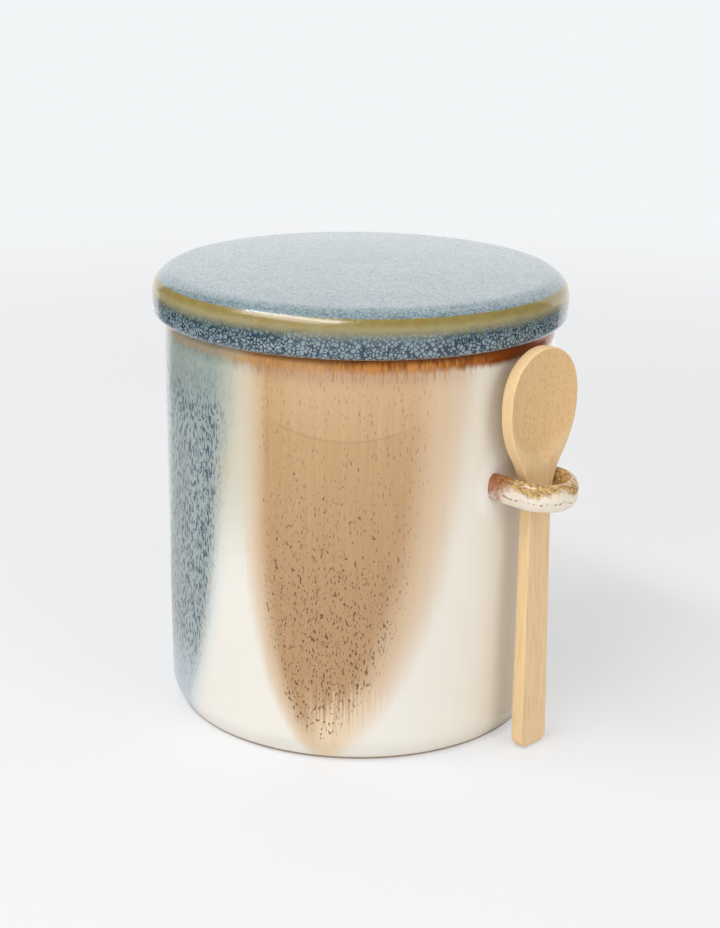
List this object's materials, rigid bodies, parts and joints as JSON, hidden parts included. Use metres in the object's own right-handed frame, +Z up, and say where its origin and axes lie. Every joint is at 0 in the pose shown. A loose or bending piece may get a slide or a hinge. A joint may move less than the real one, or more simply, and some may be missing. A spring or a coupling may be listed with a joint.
{
  "type": "storage jar",
  "caption": "Round stoneware storage jar with drip glaze, an overhanging flat lid with a seal, and a bamboo spoon hung in a clay loop on its wall.",
  "frame": {"origin": "centre of the flat foot, on the surface that the jar stands on", "axes": "+Z up the jar's axis, +X out through the spoon loop, +Y completes a right-handed frame"},
  "size_m": [0.1414, 0.125, 0.1361],
  "materials": {
    "pot_glaze": "glossy reactive glaze",
    "loop_glaze": "glossy reactive glaze",
    "lid_glaze": "glossy crackled glaze",
    "seal_silicone": "matt translucent silicone",
    "spoon_bamboo": "sanded bamboo"
  },
  "bodies": {
    "jar": {"jar_body": "pot_glaze", "spoon_loop": "loop_glaze"},
    "seal": {"lid_seal": "seal_silicone"},
    "cover": {"lid": "lid_glaze"},
    "spoon": {"spoon": "spoon_bamboo"}
  },
  "joints": [
    {"name": "lid_lift", "type": "slide", "parent": "jar", "child": "seal", "axis": [0, 0, 1], "range_m": [0, 0.06]},
    {"name": "lid_turn", "type": "hinge", "parent": "seal", "child": "cover", "pos_m": [0, 0, 0.12], "axis": [0, 0, 1], "continuous": true},
    {"name": "spoon_lift", "type": "slide", "parent": "jar", "child": "spoon", "axis": [0, 0, 1], "range_m": [0, 0.11]}
  ]
}
